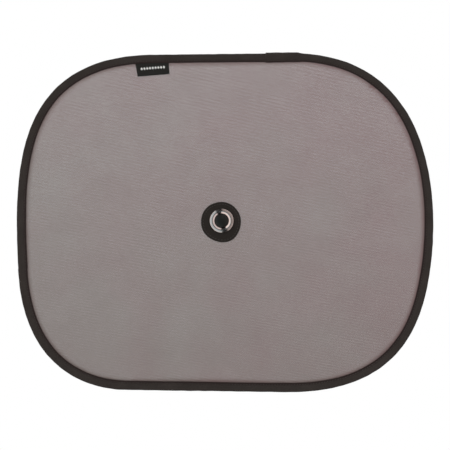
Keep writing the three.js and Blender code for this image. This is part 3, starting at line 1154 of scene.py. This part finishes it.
@dataclass
class Label:
    """The woven label: a strip folded in half, its ends under the binding's front lip."""

    binding: Binding
    width: float = 35.3
    top_depth: float = 5.95
    length: float = 15.95
    thickness: float = 0.5
    layer: float = 0.22
    tilt: float = 4.0
    aside: float = -0.5
    middle_y: float = -13.35
    rows: int = 60
    curl: float = 0.16
    left_skew: float = 1.5
    curl_starts: Pair = (9.0, 11.0)
    curl_ease: float = 7.0

    def section(self) -> list[Pair]:
        """One closed section: distance down from the top, and height off the middle."""
        half, layer = self.thickness / 2, self.layer
        bottom = self.length - half
        downs = [bottom * i / 14 for i in range(15)]
        outer = arc((bottom, 0), (half, half), 90, -90, 8)
        inner = arc((bottom, 0), (half - layer, half - layer), -90, 90, 4)
        return [
            *((down, half) for down in downs[:-1]),
            *outer,
            *((down, -half) for down in reversed(downs[:-1])),
            *((down, layer - half) for down in downs[:-1:2]),
            *inner,
            *((down, half - layer) for down in reversed(downs[:-1:2])),
            (0.0, half),
        ]

    def make(self, material: Material) -> Object:
        """Lofts the folded strip from its left selvedge to its right one."""
        place = self.binding.outline.at(self.binding.label_run)
        angle = math.atan2(place.along.y, place.along.x) + math.radians(self.tilt)
        across = Vector((math.cos(angle), 0, math.sin(angle)))
        down = Vector((math.sin(angle), 0, -math.cos(angle)))
        centre = place.point + place.inwards * (self.top_depth + self.length / 2)
        top = Vector((centre.x, self.middle_y, centre.y)) - down * self.length / 2
        top += across * self.aside
        section = self.section()
        from_top, from_middle = self.curl_starts
        rows, marks = [], []
        for i in range(self.rows + 1):
            side = self.width * (i / self.rows - 0.5)
            outer = ease((abs(side) - from_middle) / self.curl_ease)
            row, mark, total = [], [], 0.0
            for before, (fall, out) in zip([section[0], *section], section):
                total += math.dist(before, (fall, out))
                lift = self.curl * ease((fall - from_top) / self.curl_ease) * outer
                lift += 0.03 * wander(side / 6, fall / 6, 5.5)
                forward = Vector((0, -out - lift * (0.4 if out > 0 else 1), 0))
                skewed = side + self.left_skew * (0.5 - side / self.width) * fall / self.length
                row.append((top + across * skewed + down * fall + forward) * MM)
                mark.append((side * MM, total * MM))
            rows.append(row)
            marks.append(mark)
        bm = loft(rows, marks, round_rows=True, round_path=False)
        bmesh.ops.holes_fill(bm, edges=[e for e in bm.edges if e.is_boundary], sides=0)
        bmesh.ops.recalc_face_normals(bm, faces=bm.faces)
        return finished("label_folded", bm, material, "shade", ["woven_label"])


# Metal and vinyl pieces


@dataclass
class Eyelet:
    """The rolled flange with its barrel, and the washer that the barrel is curled over."""

    radius: float = 12.7
    bore: float = 6.35
    wall: float = 0.45
    crest: Pair = (10.0, -16.3)
    cone_foot: Pair = (12.1, -15.75)
    curl_radius: float = 0.85
    washer_radius: float = 12.0

    def make(self, material: Material) -> list[Object]:
        """Spins the eyelet and its washer."""
        lip, curl_end, wall, bore = LAYERS.flange_lip, LAYERS.curl_end, self.wall, self.bore
        rim, crest, foot = self.radius, self.crest[0], self.cone_foot[0]
        crest_y, foot_y = self.crest[1], self.cone_foot[1]
        under_y = crest_y + wall
        up_cone = bezier(
            (rim, lip), (rim, foot_y + 0.2), (foot + 0.45, foot_y + 0.12), self.cone_foot
        )
        to_crest = bezier(
            self.cone_foot, (foot - 0.7, foot_y - 0.18), (crest + 0.6, crest_y), self.crest
        )
        to_bore = bezier(self.crest, (crest - 0.7, crest_y), (bore + 0.25, lip - 1.2), (bore, lip))
        curl, radius = (bore + self.curl_radius, curl_end), self.curl_radius
        around = arc(curl, (radius, radius), 180, 0, 10)
        within = arc(curl, (radius - wall, radius - wall), 0, 180, 8)
        under_crest = bezier(
            (bore + wall, lip), (bore + wall + 0.2, lip - 0.95), (crest - 0.6, under_y),
            (crest, under_y),
        )
        under_rim = bezier(
            (crest, under_y), (crest + 1.2, under_y), (rim - wall, lip - 1.3), (rim - wall, lip)
        )
        outer = [*up_cone, *to_crest[1:], *to_bore[1:]]
        ring = turned([*outer, *around, *within, *under_crest, *under_rim[1:]], closed=True)
        front, back, hole = LAYERS.washer_front, LAYERS.washer_back, LAYERS.barrel_hole
        edge, wide = 0.16, self.washer_radius
        washer = turned(
            [
                (hole, front), (wide - edge, front), (wide, front + edge), (wide, back - edge),
                (wide - edge, back), (10.6, back), (8.6, back), (hole, back),
            ],
            closed=True,
        )
        return [
            finished(name, bm, material, "shade", [node])
            for name, bm, node in (
                ("eyelet_rolled", ring, "eyelet_front"),
                ("eyelet_washer_ring", washer, "eyelet_washer"),
            )
        ]


@dataclass
class SuctionCup:
    """The cup, from its button head in the eyelet's mouth to the hollow under its rim."""

    head_radius: float = 6.95
    head_seat: float = -15.51
    head_rise: float = 1.1
    neck_radius: float = 5.8
    shoulder_radius: float = 9.5
    chamfer: float = 0.8
    rim_radius: float = 20.0
    rim_thickness: float = 0.8
    rim_width: float = 2.5
    flare_turn: Pair = (12.0, -5.4)
    hollow_turn: Pair = (12.5, -6.1)

    def make(self, material: Material) -> Object:
        """Spins the cup's profile from the axis round to the axis."""
        seat, head, neck = self.head_seat, self.head_radius, self.neck_radius
        shoulder = LAYERS.cup_shoulder
        flare_start = (self.shoulder_radius, shoulder + self.chamfer)
        flare_end = (self.rim_radius, -self.rim_thickness)
        rim_inner = (self.rim_radius - self.rim_width, 0.0)
        profile = [
            *arc((0, seat), (head, self.head_rise), -90, 0, 16),
            (head - 0.06, seat + 0.22), (head - 0.4, seat + 0.5),
            (neck + 0.25, seat + 0.86), (neck, seat + 1.15), (neck, shoulder - 0.5),
            (neck + 0.2, shoulder - 0.1), (neck + 0.5, shoulder),
            (self.shoulder_radius - self.chamfer - 0.2, shoulder),
            (self.shoulder_radius - self.chamfer * 0.45, shoulder + 0.2),
            (self.shoulder_radius - 0.08, shoulder + self.chamfer * 0.7),
            *self.swept(flare_start, self.flare_turn, flare_end, 18),
            (self.rim_radius, -0.5), (self.rim_radius - 0.05, -0.12),
            (self.rim_radius - 0.25, 0.0), (self.rim_radius - 1.2, 0.0),
            *self.swept(rim_inner, self.hollow_turn, (0.0, self.hollow_turn[1]), 20),
        ]
        bm = turned(profile, closed=False)
        return finished("suction_cup_vinyl", bm, material, "cup", ["suction_cup"])

    @staticmethod
    def swept(start: Pair, turn: Pair, end: Pair, steps: int) -> list[Pair]:
        """Points on a curve that leaves start towards turn and comes into end from there."""
        first = tuple(s + (t - s) * 2 / 3 for s, t in zip(start, turn))
        second = tuple(e + (t - e) * 2 / 3 for e, t in zip(end, turn))
        return bezier(start, first, second, end, steps=steps)


# Studio


@dataclass(frozen=True)
class Softbox:
    """One soft light, aimed at the eyelet: where it stands, its size, its power and its tint."""

    name: str
    at: Triple
    size: float
    power: float
    tint: Triple = (1.0, 1.0, 1.0)

    def make(self) -> Object:
        """Hangs the light. Only the lights behind the shade show in shiny pieces."""
        lamp = bpy.data.lights.new(self.name, "AREA")
        lamp.size, lamp.energy, lamp.color = self.size, self.power, self.tint
        light = bpy.data.objects.new(self.name, lamp)
        light.location = self.at
        light.rotation_euler = (-Vector(self.at)).to_track_quat("-Z", "Y").to_euler()
        light.visible_camera = False
        light.visible_glossy = self.at[1] > 0
        bpy.context.scene.collection.objects.link(light)
        return light


@dataclass(frozen=True)
class Glow:
    """One lit side of the room, as shiny pieces reflect it.

    It fills a sector round the room's axis, from its middle azimuth out by half, and starts at an
    angle off the axis. It turns from near to far between the two angles of turns. All angles are
    in degrees, and azimuth runs from +X up towards +Z.
    """

    middle: float
    half: float
    starts: Pair
    turns: Pair
    near: Triple
    far: Triple

    def over(
        self, graph: Graph, below: object, x: NodeSocket, z: NodeSocket, out: NodeSocket,
        off: NodeSocket,
    ) -> NodeSocket:
        """Lays the glow over a colour.

        Args:
            graph: the graph to draw in.
            below: the colour without it.
            x: the place along X.
            z: the place along Z.
            out: the distance from the room's axis.
            off: the tangent of the angle off that axis.
        """
        middle = math.radians(self.middle)
        towards = graph.leaning(x, z, math.cos(middle), math.sin(middle))
        edges = tuple(math.cos(math.radians(self.half + soft)) for soft in (3.0, -3.0))
        sector = graph.range(graph.math("DIVIDE", towards, out), edges)
        started, turned_far = (
            graph.range(off, tuple(math.tan(math.radians(angle)) for angle in angles))
            for angles in (self.starts, self.turns)
        )
        colour = graph.blend(turned_far, self.near, self.far)
        return graph.blend(graph.times(sector, started), below, colour)


@dataclass
class Studio:
    """A pale floor, soft light from both sides, and the camera of the photograph."""

    camera_middle: Pair = (0.00354, -0.00452)
    camera_away: float = 3.0
    field_width: float = 0.4753
    floor_level: float = -0.45
    floor_radius: float = 2.3
    floor_tone: Triple = (0.86, 0.86, 0.86)
    room_radius: float = 6.0
    room_tone: Triple = (0.02, 0.02, 0.022)
    ambient: float = 0.287
    from_front: float = 0.407
    from_above: float = 0.75
    from_behind: float = 0.40
    softboxes: tuple[Softbox, ...] = (
        Softbox("softbox_left", (-1.1, -1.4, 0.8), 1.0, 6.4, (0.98, 0.985, 1.0)),
        Softbox("softbox_right", (1.2, -1.4, 0.7), 1.0, 3.2, (1.0, 0.955, 0.93)),
        Softbox("softbox_back_left", (-1.0, 1.3, 0.7), 1.2, 5.0),
        Softbox("softbox_back_right", (1.0, 1.3, 0.5), 1.2, 3.2),
    )
    glows: tuple[Glow, ...] = (
        Glow(197.0, 75.0, (8.0, 13.0), (34.0, 42.0), (0.44, 0.54, 0.58), (1.15, 1.01, 0.97)),
        Glow(14.5, 72.0, (14.0, 20.0), (36.0, 46.0), (0.34, 0.29, 0.275), (0.86, 0.76, 0.75)),
    )

    def make(self) -> None:
        """Sets the world, floor, room, lights and camera."""
        self.world()
        self.floor()
        self.dark_room()
        for softbox in self.softboxes:
            softbox.make()
        self.camera()
        bpy.context.scene.view_settings.view_transform = "Standard"

    def world(self) -> None:
        """White to the camera, to reflections and through the knit, and a soft light all round."""
        world = bpy.data.worlds.new("studio")
        bpy.context.scene.world = world
        world.use_nodes = True
        graph = Graph(world.node_tree)
        path = graph.add("LightPath")
        seen = path.outputs["Is Camera Ray"]
        for name in ("Is Glossy Ray", "Is Transmission Ray"):
            seen = graph.math("MAXIMUM", seen, path.outputs[name])
        y, z = graph.split(graph.place())[1:]
        sides = (
            (graph.times(y, -1.0), self.from_front), (z, self.from_above), (y, self.from_behind),
        )
        light = self.ambient
        for part, strength in sides:
            light = graph.line(graph.math("MAXIMUM", part, 0.0), strength, light)
        level = graph.line(seen, graph.math("SUBTRACT", 1.0, light), light)
        graph.fill(world.node_tree.nodes["Background"], Color=(1.0, 1.0, 1.0), Strength=level)

    def floor(self) -> None:
        """A plain pale floor, well below the shade, which hangs on its window."""
        bm = bmesh.new()
        bmesh.ops.create_circle(bm, cap_ends=True, segments=96, radius=self.floor_radius)
        bmesh.ops.translate(bm, verts=bm.verts, vec=(0, 0, self.floor_level))
        paint = Surface("pale_floor", Roughness=0.9, Base_Color=self.floor_tone)
        floor = linked("floor", bm, paint.material)
        floor.visible_glossy = False

    def dark_room(self) -> None:
        """The room in front of the shade, dark but for lit sides, which shiny pieces reflect."""
        bm = bmesh.new()
        bmesh.ops.create_uvsphere(bm, u_segments=48, v_segments=24, radius=self.room_radius)
        bmesh.ops.bisect_plane(
            bm, geom=[*bm.verts, *bm.edges, *bm.faces], plane_co=(0, -0.05, 0),
            plane_no=(0, 1, 0), clear_outer=True,
        )
        paint = Surface(
            "dark_room_paint", Roughness=1.0, Specular_IOR_Level=0.0, Emission_Strength=1.0,
            Base_Color=self.room_tone,
        )
        x, y, z = paint.split(paint.place())
        out = paint.line(x, x, paint.times(z, z))
        out = paint.math("MAXIMUM", paint.math("SQRT", out), 0.001)
        off = paint.math("DIVIDE", out, paint.times(y, -1.0))
        seen = (0.0, 0.0, 0.0)
        for glow in self.glows:
            seen = glow.over(paint, seen, x, z, out, off)
        paint.fill(paint.shader, Emission_Color=seen)
        room = linked("dark_room", bm, paint.material)
        room.visible_camera = room.visible_diffuse = False
        room.visible_transmission = room.visible_shadow = False

    def camera(self) -> None:
        """Straight on, with a long lens, framed as the photograph is."""
        lens = bpy.data.cameras.new("camera")
        lens.lens = lens.sensor_width * self.camera_away / self.field_width
        lens.clip_end = 50
        camera = bpy.data.objects.new("camera", lens)
        x, z = self.camera_middle
        camera.location = (x, LAYERS.panel_middle * MM - self.camera_away, z)
        camera.rotation_euler = (math.pi / 2, 0, 0)
        bpy.context.scene.collection.objects.link(camera)
        bpy.context.scene.camera = camera


@dataclass
class Sunshade:
    """The whole shade: its cloth, its sewing, its metal and its suction cup."""

    outline: Outline = field(default_factory=Outline)
    effects: Effects = field(default_factory=Effects)

    def dress_hidden_metal(self) -> None:
        """Gives the hoop and its sleeve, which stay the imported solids, their metal."""
        for node, finish in (("wire_hoop", STEEL_FINISH), ("wire_ferrule", FERRULE_FINISH)):
            made = finish.make(self.effects)
            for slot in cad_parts[node].material_slots:
                slot.material = made
            LOG.info("%s: kept, with a new finish", node)

    def make(self) -> None:
        tape, canvas, thread, satin, knit, nickel, vinyl = (
            finish.make(self.effects)
            for finish in (
                TAPE_FINISH, PATCH_FINISH, THREAD_FINISH, LabelFinish(), KnitFinish(),
                NICKEL_FINISH, VINYL_FINISH,
            )
        )
        binding, mesh = Binding(self.outline), Panel(self.outline)
        tape_piece = binding.make(tape)
        seams = binding.stitches(thread)
        panel, panel_area = mesh.make(knit)
        label = Label(binding)
        label_piece = label.make(satin)
        Eyelet().make(nickel)
        SuctionCup().make(vinyl)
        self.dress_hidden_metal()

        for patch in (
            Patch(Face.FRONT, "front_patch", LAYERS.front_patch_back, LAYERS.front_patch_front),
            Patch(Face.BACK, "back_patch", LAYERS.back_patch_front, LAYERS.back_patch_back, 0.45),
        ):
            piece = patch.make(canvas)
            sewn = patch.stitches(thread)


def main() -> None:
    """Builds the studio and the shade."""
    logging.basicConfig(level=logging.INFO, format="%(name)s: %(message)s")
    Studio().make()
    Sunshade().make()


if __name__ == "__main__":
    main()
